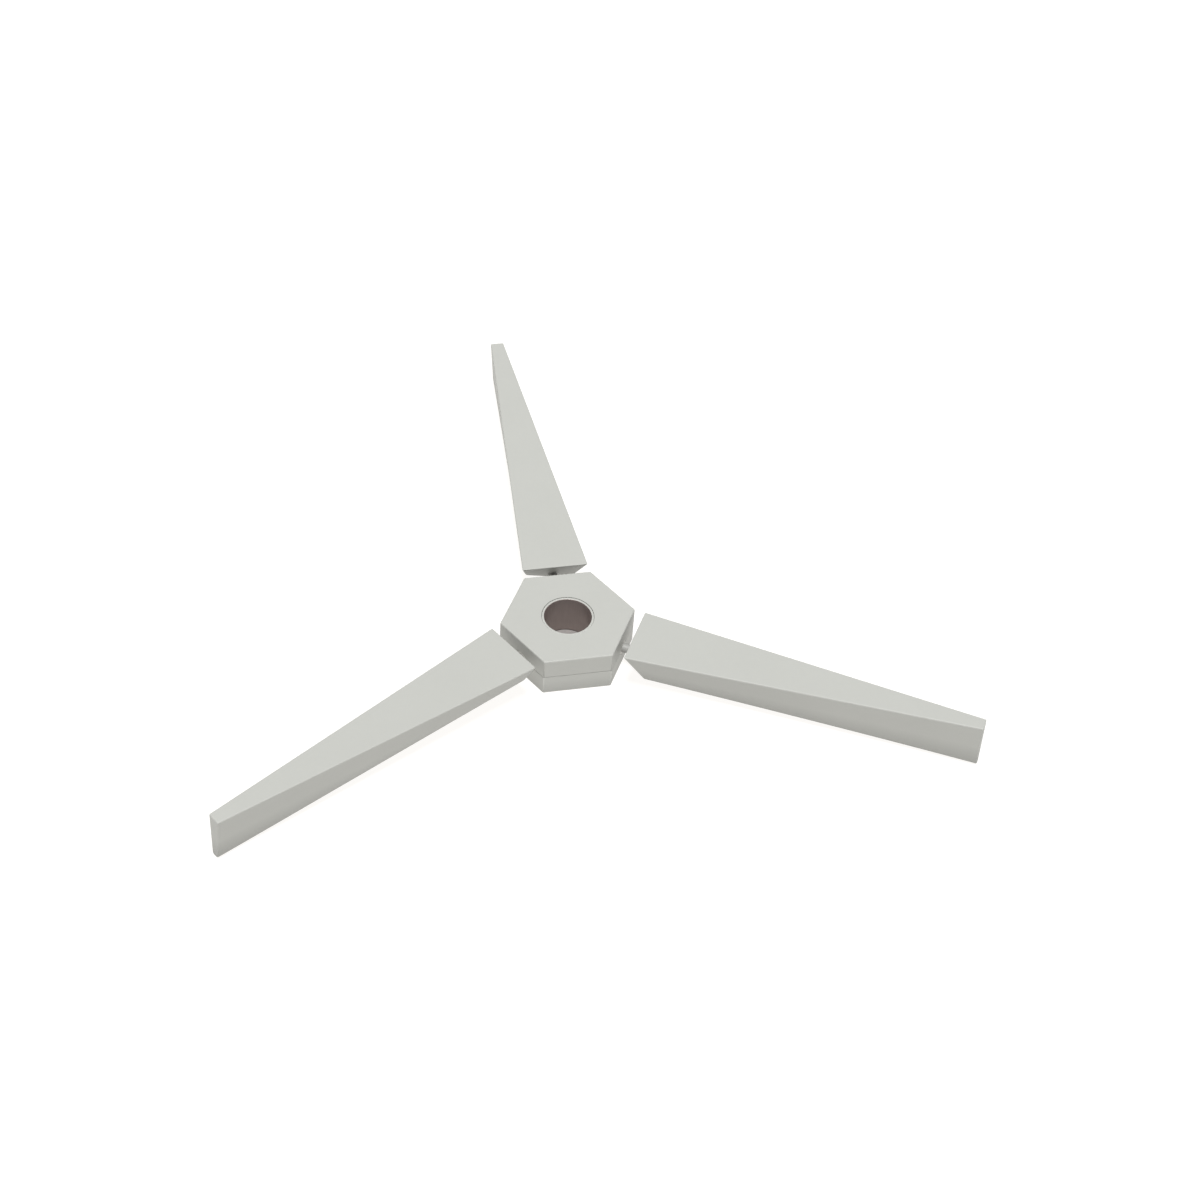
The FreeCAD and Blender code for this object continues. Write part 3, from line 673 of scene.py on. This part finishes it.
@dataclass
class Blade:
    """Tapering, twisted blade with rounded keels and softened ends."""

    edge_round: float = 0.55 * MM
    end_round: float = 0.6 * MM
    bore_radius: float = 2.02 * MM
    bore_mouth: float = 2.1 * MM
    bore_depth: float = 10.0 * MM
    pin_hole_radius: float = 1.02 * MM
    pin_hole_top: float = -2.0 * MM
    pin_hole_depth: float = 12.0 * MM
    least_round: float = 0.12 * MM
    stations: int = 48
    end_steps: int = 5
    arc_steps: int = 10
    side_steps: int = 6
    root: BladeEnd = field(default_factory=lambda: BladeEnd(
        29.4 * MM, 30.0,
        ((-14.3 * MM, 0.0), (-8.5 * MM, -17.3 * MM), (12.0 * MM, -7.6 * MM), (14.5 * MM, 0.0)),
        3.6 * MM))
    tip: BladeEnd = field(default_factory=lambda: BladeEnd(
        178.5 * MM, 2.0,
        ((-1.2 * MM, 4.2 * MM), (-0.4 * MM, -18.4 * MM), (3.2 * MM, -18.4 * MM),
         (4.8 * MM, 4.2 * MM)),
        1.4 * MM))

    def build(self, workshop: Workshop) -> None:
        """Make the three blades, each turned to its own direction."""
        for number, angle in BLADE_ANGLES.items():
            mesh = mesh_from(f"blade_{number}_moulding", self._fill)
            piece = new_piece(f"blade_{number}_moulding", mesh)
            self._cut_pin_hole(piece)
            moved(piece.data, turn_about_z(angle))
            shade_by_angle(piece, 34.0)
            keep_flats_flat(piece)
            workshop.deliver(piece, f"blade_{number}", "blade_plastic", [f"blade_{number}"])

    def _corners(self, share: float) -> list[Vector]:
        """Interpolate the four corners, root to tip, as points in space."""
        found = []
        for (root_w, root_z), (tip_w, tip_z) in zip(self.root.corners, self.tip.corners):
            root = Vector((self._lean_reach(self.root, root_z), root_w, HUB_TOP + root_z))
            tip_drop = tip_z - self.tip.corners[0][1]
            tip = Vector((self._lean_reach(self.tip, tip_drop), tip_w, HUB_TOP + tip_z))
            found.append(root.lerp(tip, share))
        return found

    @staticmethod
    def _lean_reach(end: BladeEnd, drop: float) -> float:
        """Give the distance from the rotor's axis of a point below an end's top edge."""
        return end.reach - drop * math.tan(math.radians(end.lean))

    def _section(self, share: float, inset: float) -> list[Vector]:
        """Trace one section with rounded corners, drawn in by an inset."""
        corners = self._corners(share)
        keel = self.root.keel_round + (self.tip.keel_round - self.root.keel_round) * share
        radii = (self.edge_round, keel, keel, self.edge_round)
        count = len(corners)
        drawn_in = [self._drawn_in(corners, index, inset) for index in range(count)]
        outline: list[Vector] = []
        for index, corner in enumerate(drawn_in):
            radius = max(radii[index] - inset, self.least_round)
            arc = self._arc(drawn_in[index - 1], corner, drawn_in[(index + 1) % count], radius)
            if outline:
                outline.extend(self._between(outline[-1], arc[0]))
            outline.extend(arc)
        outline.extend(self._between(outline[-1], outline[0]))
        return outline

    @staticmethod
    def _drawn_in(corners: list[Vector], index: int, inset: float) -> Vector:
        """Move a corner inwards so that both of its sides move by the inset."""
        before, corner, after = (corners[(index + shift) % len(corners)] for shift in (-1, 0, 1))
        back, ahead, half = sides(before, corner, after)
        return corner + (back + ahead).normalized() * (inset / math.sin(half))

    def _between(self, start: Vector, end: Vector) -> list[Vector]:
        """Divide a straight side."""
        return [start.lerp(end, step / self.side_steps) for step in range(1, self.side_steps)]

    def _arc(self, before: Vector, corner: Vector, after: Vector, radius: float) -> list[Vector]:
        """Round a corner with an arc."""
        back, ahead, half = sides(before, corner, after)
        centre = corner + (back + ahead).normalized() * (radius / math.sin(half))
        start = corner + back * (radius / math.tan(half)) - centre
        end = corner + ahead * (radius / math.tan(half)) - centre
        turn = start.angle(end)
        points = []
        for step in range(self.arc_steps + 1):
            share = step / self.arc_steps
            weight_start = math.sin((1 - share) * turn) / math.sin(turn)
            weight_end = math.sin(share * turn) / math.sin(turn)
            points.append(centre + start * weight_start + end * weight_end)
        return points

    def _fill(self, work: bmesh.types.BMesh) -> None:
        """Skin the sections, close the tip and bore the root."""
        length = self.tip.reach - self.root.reach
        quarter = (math.pi / 2 * step / self.end_steps for step in range(self.end_steps + 1))
        rounding = [(self.end_round * (1 - math.cos(angle)), self.end_round * (1 - math.sin(angle)))
                    for angle in quarter]
        rows = [(depth / length, inset) for depth, inset in rounding]
        inner = [rows[-1][0] + (1 - 2 * rows[-1][0]) * step / self.stations
                 for step in range(1, self.stations)]
        rows += [(share, 0.0) for share in inner]
        rows += [(1 - depth / length, inset) for depth, inset in reversed(rounding)]
        rings = [[work.verts.new(point) for point in self._section(share, inset)]
                 for share, inset in rows]
        work.faces.new(rings[-1])
        for lower, upper in zip(rings, rings[1:]):
            bridge(work, lower, upper)
        self._bore_root(work, rings[0])

    def _bore_root(self, work: bmesh.types.BMesh, ring: list[bmesh.types.BMVert]) -> None:
        """Join the root's outline to the mouth of the spindle bore."""
        face = [vertex.co for vertex in ring]
        normal = (face[0] - face[len(face) // 2]).cross(
            face[len(face) // 4] - face[3 * len(face) // 4]).normalized()
        angles = [math.atan2(point.z, point.y) for point in face]

        def circle(radius: float, depth: float) -> list[bmesh.types.BMVert]:
            """Draw a circle in the bore at a depth below the root's plane."""
            made = []
            for angle in angles:
                across, up = radius * math.cos(angle), radius * math.sin(angle)
                offset = Vector((0.0, across, up)) - face[0]
                on_plane = -(normal.y * offset.y + normal.z * offset.z) / normal.x + face[0].x
                made.append(work.verts.new((on_plane + depth, across, up)))
            return made

        loops = [ring, circle(self.bore_mouth, 0.0),
                 circle(self.bore_radius, self.bore_mouth - self.bore_radius),
                 circle(self.bore_radius, self.bore_depth)]
        for outer, inner in zip(loops, loops[1:]):
            bridge(work, outer, inner)
        work.faces.new(loops[-1])

    def _cut_pin_hole(self, piece: bpy.types.Object) -> None:
        """Bore the roll pin's hole from the underside."""
        radius, base, top = self.pin_hole_radius, -self.pin_hole_depth, self.pin_hole_top
        profile = [(0.0, base), (radius, base), (radius, top), (0.0, top)]
        mesh = mesh_from("pin_hole_cutter", turned(profile, steps=32))
        cutter = new_piece("pin_hole_cutter", moved(mesh, Matrix.Translation(
            (PIN_PLACE, 0.0, 0.0))))
        cut = piece.modifiers.new("pin hole", "BOOLEAN")
        cut.operation = "DIFFERENCE"
        cut.solver = "EXACT"
        cut.object = cutter
        bake(piece)
        bpy.data.objects.remove(cutter)


# ---------------------------------------------------------------- axle and bearing

@dataclass
class Axle:
    """The thin turned sleeve that carries the ball race."""

    bore: float = 10.0 * MM
    outside: float = 11.0 * MM
    band: float = 12.9 * MM
    half_length: float = 9.2 * MM
    band_half: float = 3.5 * MM
    lip: float = 0.3 * MM
    outer_lip: float = 0.1 * MM
    groove_radius: float = 1.78 * MM
    groove_steps: int = 14

    def build(self, workshop: Workshop) -> None:
        """Turn the sleeve."""
        mesh = mesh_from("axle_sleeve_turning", turned(self._profile(), closed=True, steps=144))
        workshop.single("axle_sleeve_turning", mesh, "axle", "sleeve_steel", "axle_sleeve")

    def _profile(self) -> list[Point2]:
        """Trace the wall: rounded lips, raised band and ball groove."""
        upper = self._lip()
        reach = math.acos((BALL_CIRCLE - self.band) / self.groove_radius)
        groove = arc((BALL_CIRCLE, 0.0), self.groove_radius, math.pi - reach, 2 * reach,
                     self.groove_steps)
        band = ([(self.outside, self.band_half), (self.band, self.band_half)] + groove
                + [(self.band, -self.band_half), (self.outside, -self.band_half)])
        lower = [(radius, -height) for radius, height in reversed(upper)]
        return upper + band + lower

    def _lip(self) -> list[Point2]:
        """Round the wall's upper end, from the bore to the outside."""
        points = []
        rounds = ((self.bore + self.lip, math.pi, self.lip),
                  (self.outside - self.outer_lip, math.pi / 2, self.outer_lip))
        for across, start, radius in rounds:
            centre = (across, self.half_length - radius)
            points += arc(centre, radius, start, -math.pi / 2, CORNER_STEPS)
        return points


@dataclass
class Bearing:
    """Balls, cage, outer ring and shields round the sleeve."""

    ball_radius: float = 1.75 * MM
    ball_count: int = 12
    shield_inner: float = 13.2 * MM
    shield_outer: float = 15.48 * MM
    shield_inside: float = 2.95 * MM
    shield_thickness: float = 0.4 * MM
    shield_rib: float = 0.14 * MM

    def build(self, workshop: Workshop) -> None:
        """Make the balls and shields and dress the rings."""
        self._build_balls(workshop)
        for name, side in (("upper_shield", 1), ("lower_shield", -1)):
            mesh = mesh_from(f"{name}_pressing", turned(self._shield(side), closed=True,
                                                        steps=96))
            workshop.single(f"{name}_pressing", mesh, "hub", "shield_steel", name, 32.0)
        workshop.dress("bearing_outer_ring", "bearing_steel")
        workshop.dress("ball_cage", "cage_nylon")

    def _build_balls(self, workshop: Workshop) -> None:
        """Repeat one ball round the bearing."""
        def fill(work: bmesh.types.BMesh) -> None:
            """Fill the bmesh with one ball."""
            bmesh.ops.create_icosphere(work, subdivisions=4, radius=self.ball_radius)

        mesh = moved(mesh_from("bearing_ball_row", fill),
                     Matrix.Translation((BALL_CIRCLE, 0.0, 0.0)))
        workshop.ring("bearing_ball_row", mesh, self.ball_count, FIRST_BLADE_ANGLE,
                      "bearing_steel", "bearing_balls", "ball_row", 60.0)

    def _shield(self, side: int) -> list[Point2]:
        """Trace a pressed washer with a shallow rib."""
        inside, outside = self.shield_inside, self.shield_inside + self.shield_thickness
        middle = (self.shield_inner + self.shield_outer) / 2
        flank = (self.shield_outer - self.shield_inner) / 6
        rib = self.shield_rib
        outer_face = [(self.shield_outer, outside), (middle + flank, outside),
                      (middle, outside - rib), (middle - flank, outside),
                      (self.shield_inner, outside)]
        inner_face = [(self.shield_inner, inside), (middle - flank, inside),
                      (middle, inside + rib / 2), (middle + flank, inside),
                      (self.shield_outer, inside)]
        return [(radius, side * height) for radius, height in outer_face + inner_face]


# ---------------------------------------------------------------- fasteners and spindles

@dataclass
class HubFasteners:
    """Screws, threaded inserts and locating pins of the hub."""

    screw_circle: float = 22.5 * MM
    dowel_circle: float = 20.6 * MM
    thread_crest: float = 1.5 * MM
    thread_root: float = 1.22 * MM
    pitch: float = 0.5 * MM
    shank_end: float = 5.0 * MM
    head_under: float = -6.2 * MM
    head_height: float = 3.0 * MM
    head_radius: float = 2.7 * MM
    head_bevel: float = 0.3 * MM
    head_steps: int = 72
    knurl_depth: float = 0.05 * MM
    head_ridges: int = 36
    insert_ridges: int = 24
    socket_reach: float = 1.44 * MM
    socket_depth: float = 1.6 * MM
    insert_radius: float = 2.04 * MM
    insert_bore: float = 1.53 * MM
    insert_start: float = 0.4 * MM
    insert_length: float = 5.2 * MM
    dowel_radius: float = 1.5 * MM
    dowel_half: float = 3.6 * MM

    def build(self, workshop: Workshop) -> None:
        """Make the three sets of fasteners."""
        corner = Matrix.Translation((self.screw_circle, 0.0, 0.0))
        screw = moved(mesh_from("hub_screw_set", self._fill_screw), corner)
        workshop.ring("hub_screw_set", screw, HUB_CORNERS, 0.0, "fastener_steel", "hub_screws")
        insert = mesh_from("threaded_insert_set", turned(
            self._insert_profile(), closed=True, steps=96, ridges=self._knurl))
        workshop.ring("threaded_insert_set", moved(insert, corner), HUB_CORNERS, 0.0,
                      "insert_brass", "threaded_inserts")
        free_side = Matrix.Translation((self.dowel_circle, 0.0, 0.0))
        dowel = mesh_from("locating_pin_set", turned(self._dowel_profile(), steps=48))
        workshop.ring("locating_pin_set", moved(dowel, free_side), BLADE_COUNT, 30.0,
                      "fastener_steel", "locating_pins")

    def _fill_screw(self, work: bmesh.types.BMesh) -> None:
        """Build one socket-head screw: threaded shank, knurled head and hex socket."""
        base = self.head_under - self.head_height
        shank = [(0.0, self.shank_end), (self.thread_root, self.shank_end)]
        turns = int((self.shank_end - self.head_under) / self.pitch) - 1
        for turn in range(turns):
            top = self.shank_end - 0.1 * MM - turn * self.pitch
            shank.append((self.thread_root, top))
            shank.append((self.thread_crest, top - self.pitch / 2))
        shank.append((self.thread_root, self.head_under + 0.1 * MM))
        bevel = self.head_bevel
        head = [(self.thread_root, self.head_under), (self.head_radius - bevel, self.head_under),
                (self.head_radius, self.head_under - bevel),
                (self.head_radius, base + bevel), (self.head_radius - bevel, base)]
        turned(shank + head, steps=self.head_steps, ridges=self._head_knurl(len(shank)))(work)
        work.verts.ensure_lookup_table()
        rim = list(work.verts)[-self.head_steps:]
        self._sink_socket(work, rim, base)

    def _head_knurl(self, first: int) -> Callable[[float, int], float]:
        """Give the fine upright ridges on the head's side."""
        def extra(angle: float, index: int) -> float:
            """Give the extra radius at an angle."""
            on_side = index in (first + 2, first + 3)
            return (-self.knurl_depth * (1 + math.cos(self.head_ridges * angle)) / 2 if on_side
                    else 0.0)
        return extra

    def _sink_socket(self, work: bmesh.types.BMesh, rim: list[bmesh.types.BMVert],
                     base: float) -> None:
        """Join the head's face to a hexagonal socket with a flat floor."""
        steps = len(rim)

        def hexagon(height: float) -> list[bmesh.types.BMVert]:
            """Draw the socket's outline at one height."""
            made = []
            for step in range(steps):
                angle = 2 * math.pi * step / steps
                sector = (angle % (math.pi / 3)) - math.pi / 6
                radius = self.socket_reach * math.cos(math.pi / 6) / math.cos(sector)
                made.append(work.verts.new((radius * math.cos(angle), radius * math.sin(angle),
                                            height)))
            return made

        mouth, floor = hexagon(base), hexagon(base + self.socket_depth)
        bridge(work, rim, mouth)
        bridge(work, mouth, floor)
        work.faces.new(floor)

    def _insert_profile(self) -> list[Point2]:
        """Trace an insert with two knurled bands and a waist."""
        start, end = self.insert_start, self.insert_start + self.insert_length
        waist = self.insert_radius - 0.25 * MM
        low, high = start + self.insert_length * 0.42, start + self.insert_length * 0.58
        return [(self.insert_bore, start), (self.insert_radius - 0.1 * MM, start),
                (self.insert_radius, start + 0.3 * MM), (self.insert_radius, low),
                (waist, low), (waist, high), (self.insert_radius, high),
                (self.insert_radius, end - 0.3 * MM), (waist, end), (self.insert_bore, end)]

    def _knurl(self, angle: float, index: int) -> float:
        """Cut the ridges of the two bands."""
        on_band = index in (2, 3, 6, 7)
        return self.knurl_depth * math.cos(self.insert_ridges * angle) if on_band else 0.0

    def _dowel_profile(self) -> list[Point2]:
        """Trace a pin with domed, bevelled ends."""
        half, radius, bevel = self.dowel_half, self.dowel_radius, 0.35 * MM
        upper = [(0.0, half), (radius - bevel, half - 0.05 * MM), (radius, half - bevel)]
        return upper + [(r, -h) for r, h in reversed(upper)]


@dataclass
class SpindleRings:
    """Washers, friction rings and bushes that hold the spindles in the hub."""

    washer: tuple[float, float, float, float] = (2.1 * MM, 3.5 * MM, 19.87 * MM, 20.33 * MM)
    friction: tuple[float, float, float, float] = (2.06 * MM, 3.4 * MM, 20.36 * MM, 21.38 * MM)
    bush: tuple[float, float, float, float] = (2.03 * MM, 3.2 * MM, 21.41 * MM, 25.0 * MM)

    def build(self, workshop: Workshop) -> None:
        """Make the three sets of rings."""
        sets = (
            ("thrust_washer_set", self.washer, 0.06 * MM, "fastener_steel", "thrust_washers"),
            ("friction_ring_set", self.friction, 0.45 * MM, "ring_rubber", "friction_rings"),
            ("spindle_bush_set", self.bush, 0.3 * MM, "bush_nylon", "spindle_bushes"),
        )
        for name, sizes, rounding, slot, node in sets:
            mesh = mesh_from(name, turned(self._rounded(sizes, rounding), TurningAxis.ALONG_X,
                                          closed=True, steps=64))
            workshop.ring(name, mesh, BLADE_COUNT, FIRST_BLADE_ANGLE, slot, node)

    @staticmethod
    def _rounded(sizes: tuple[float, float, float, float], rounding: float) -> list[Point2]:
        """Trace a ring's section with round corners."""
        inner, outer, start, end = sizes
        centres = ((inner + rounding, start + rounding, math.pi),
                   (outer - rounding, start + rounding, 1.5 * math.pi),
                   (outer - rounding, end - rounding, 0.0),
                   (inner + rounding, end - rounding, 0.5 * math.pi))
        points = []
        for across, along, first in centres:
            points += arc((across, along), rounding, first, math.pi / 2, CORNER_STEPS)
        return points


@dataclass
class Spindles:
    """The blades' steel spindles and the roll pins that lock them."""

    radius: float = 2.0 * MM
    head_start: float = 18.2 * MM
    head_end: float = 19.8 * MM
    head_radius: float = 3.3 * MM
    end: float = 61.0 * MM
    knurl_start: float = 37.0 * MM
    bevel: float = 0.25 * MM
    lug_half: float = 1.1 * MM
    lug_height: float = 4.6 * MM
    lug_bevel: float = 0.15 * MM
    pin_radius: float = 1.0 * MM
    pin_bore: float = 0.5 * MM
    pin_top: float = 3.6 * MM
    pin_length: float = 6.2 * MM
    pin_slot: float = 0.2 * MM
    pin_bevel: float = 0.12 * MM
    pin_steps: int = 40

    def build(self, workshop: Workshop) -> None:
        """Make a spindle and a pin for each blade."""
        for number, angle in BLADE_ANGLES.items():
            pieces = ((f"spindle_{number}_turning", self._fill_spindle, "spindle_steel",
                       f"blade_spindle_{number}"),
                      (f"roll_pin_{number}_rolled", self._fill_pin, "fastener_steel",
                       f"roll_pin_{number}"))
            for name, fill, slot, node in pieces:
                mesh = moved(mesh_from(name, fill), turn_about_z(angle))
                workshop.single(name, mesh, f"blade_{number}", slot, node)

    def _fill_spindle(self, work: bmesh.types.BMesh) -> None:
        """Turn the headed spindle and add its stop lug."""
        bevel, radius, head = self.bevel, self.radius, self.head_radius
        profile = [(0.0, self.head_start), (head - bevel, self.head_start),
                   (head, self.head_start + bevel), (head, self.head_end - bevel),
                   (head - bevel, self.head_end), (radius, self.head_end),
                   (radius, self.knurl_start), (radius - 0.1 * MM, self.knurl_start),
                   (radius - 0.1 * MM, self.end - 2 * bevel), (radius - 2 * bevel, self.end),
                   (0.0, self.end)]
        turned(profile, TurningAxis.ALONG_X, steps=64)(work)
        low = (self.head_start, -self.lug_half, radius)
        high = (self.head_end, self.lug_half, self.lug_height)
        lug = bmesh.ops.create_cube(work, size=1.0)["verts"]
        for vertex in lug:
            for axis in range(3):
                vertex.co[axis] = high[axis] if vertex.co[axis] > 0 else low[axis]
        edges = [edge for edge in work.edges if edge.verts[0] in lug and edge.verts[1] in lug]
        bmesh.ops.bevel(work, geom=edges, offset=self.lug_bevel, segments=2, affect="EDGES",
                        profile=0.5)

    def _fill_pin(self, work: bmesh.types.BMesh) -> None:
        """Roll the slotted pin, open along one side."""
        gap = math.asin(self.pin_slot / self.pin_radius)
        base, top = self.pin_top - self.pin_length, self.pin_top
        bevel = self.pin_bevel
        section = [(self.pin_bore, base), (self.pin_radius - bevel, base),
                   (self.pin_radius, base + bevel), (self.pin_radius, top - bevel),
                   (self.pin_radius - bevel, top), (self.pin_bore, top)]
        rings = []
        for step in range(self.pin_steps + 1):
            angle = gap + (2 * math.pi - 2 * gap) * step / self.pin_steps
            rings.append([work.verts.new((PIN_PLACE + radius * math.cos(angle),
                                          radius * math.sin(angle), height))
                          for radius, height in section])
        for first, second in zip(rings, rings[1:]):
            bridge(work, first, second)
        work.faces.new(rings[0])
        work.faces.new(list(reversed(rings[-1])))


# ---------------------------------------------------------------- studio

@dataclass
class Studio:
    """Camera, pale floor with a patch of painted shade under the hub, and soft light."""

    half_flats: float = 25.0 * MM
    heading: float = 14.04
    elevation: float = 45.26
    roll: float = 4.33
    distance: float = 36.85
    shift_right: float = -0.540
    shift_up: float = -0.267
    lens: float = 65.67
    sensor: float = 36.0
    nearest: float = 0.01
    floor_size: float = 8.0
    floor_glow: float = 0.92
    # Radius and fade of the painted shade patch on the floor under the hub.
    painted_shade_radius: float = 20.0 * MM
    painted_shade_fade: float = 4.0 * MM
    sky_strength: float = 0.30
    sun_strength: float = 3.12
    sun_spread: float = 20.0
    sun_place: tuple[float, float, float] = (-0.05, -0.36, 2.2)

    def build(self) -> None:
        """Set the whole stage up."""
        bpy.context.scene.view_settings.view_transform = "Standard"
        self._camera()
        self._floor()
        self._world()
        self._lights()

    def _camera(self) -> None:
        """Place the camera; its distances are in half widths of the hub."""
        yaw, lift = math.radians(self.heading), math.radians(self.elevation)
        tilt = math.radians(self.roll)
        ahead = Vector((math.sin(yaw) * math.cos(lift), math.cos(yaw) * math.cos(lift),
                        -math.sin(lift)))
        level = Vector((math.cos(yaw), -math.sin(yaw), 0.0))
        above = level.cross(ahead)
        right = level * math.cos(tilt) + above * math.sin(tilt)
        up = above * math.cos(tilt) - level * math.sin(tilt)
        offset = right * self.shift_right + up * self.shift_up + ahead * self.distance
        place = Vector((0.0, 0.0, HUB_TOP)) - offset * self.half_flats
        data = bpy.data.cameras.new("studio camera")
        data.lens = self.lens
        data.sensor_width = self.sensor
        data.clip_start = self.nearest
        camera = bpy.data.objects.new("studio camera", data)
        bpy.context.scene.collection.objects.link(camera)
        columns = Matrix((right, up, -ahead)).transposed()
        camera.matrix_world = Matrix.Translation(place) @ columns.to_4x4()
        bpy.context.scene.camera = camera

    def _floor(self) -> None:
        """Lay a pale, evenly glowing floor, with a patch of painted shade beneath the hub that is
        darker and does not glow.
        """
        half = self.floor_size / 2

        def fill(work: bmesh.types.BMesh) -> None:
            """Fill the bmesh with one large square."""
            corners = ((-half, -half), (half, -half), (half, half), (-half, half))
            work.faces.new([work.verts.new((x, y, 0.0)) for x, y in corners])

        lowest = CAD_BOX[0].z
        floor = new_piece("studio_floor", moved(mesh_from("studio_floor", fill),
                                                Matrix.Translation((0.0, 0.0, lowest))))
        graph = Graph("pale floor")
        # Painted shade: within a circle under the hub the floor is darker and gives no glow, so the
        # bore and the hub's underside stay in shade.
        clear = graph.beyond(graph.from_axis(), self.painted_shade_radius, self.painted_shade_fade)
        graph.set(Base_Color=graph.blend(clear, (0.30, 0.28, 0.27), (0.20, 0.20, 0.20)),
                  Roughness=0.9, Specular_IOR_Level=0.1,
                  Emission_Color=graph.blend(clear, (0.0, 0.0, 0.0), (1.0, 0.98, 0.955)),
                  Emission_Strength=self.floor_glow)
        floor.data.materials.append(graph.material)

    def _world(self) -> None:
        """Surround the stage with an even pale light."""
        world = bpy.data.worlds.new("studio world")
        bpy.context.scene.world = world
        world.use_nodes = True
        background = world.node_tree.nodes["Background"]
        background.inputs["Color"].default_value = (1.0, 1.0, 1.0, 1.0)
        background.inputs["Strength"].default_value = self.sky_strength

    def _lights(self) -> None:
        """Shine one broad soft light down from a little in front."""
        data = bpy.data.lights.new("overhead soft light", "SUN")
        data.energy = self.sun_strength
        data.angle = math.radians(self.sun_spread)
        light = bpy.data.objects.new("overhead soft light", data)
        bpy.context.scene.collection.objects.link(light)
        light.location = self.sun_place
        light.rotation_euler = (-light.location).to_track_quat("-Z", "Y").to_euler()


def main() -> None:
    """Build the rotor on its frame and set the stage."""
    logging.basicConfig(level=logging.INFO, format="%(name)s: %(message)s")
    Studio().build()
    workshop = Workshop()
    for assembly in (HubShell(), Blade(), Axle(), Bearing(), HubFasteners(), SpindleRings(),
                     Spindles()):
        LOG.info("building %s", type(assembly).__name__)
        assembly.build(workshop)


if __name__ == "__main__":
    main()
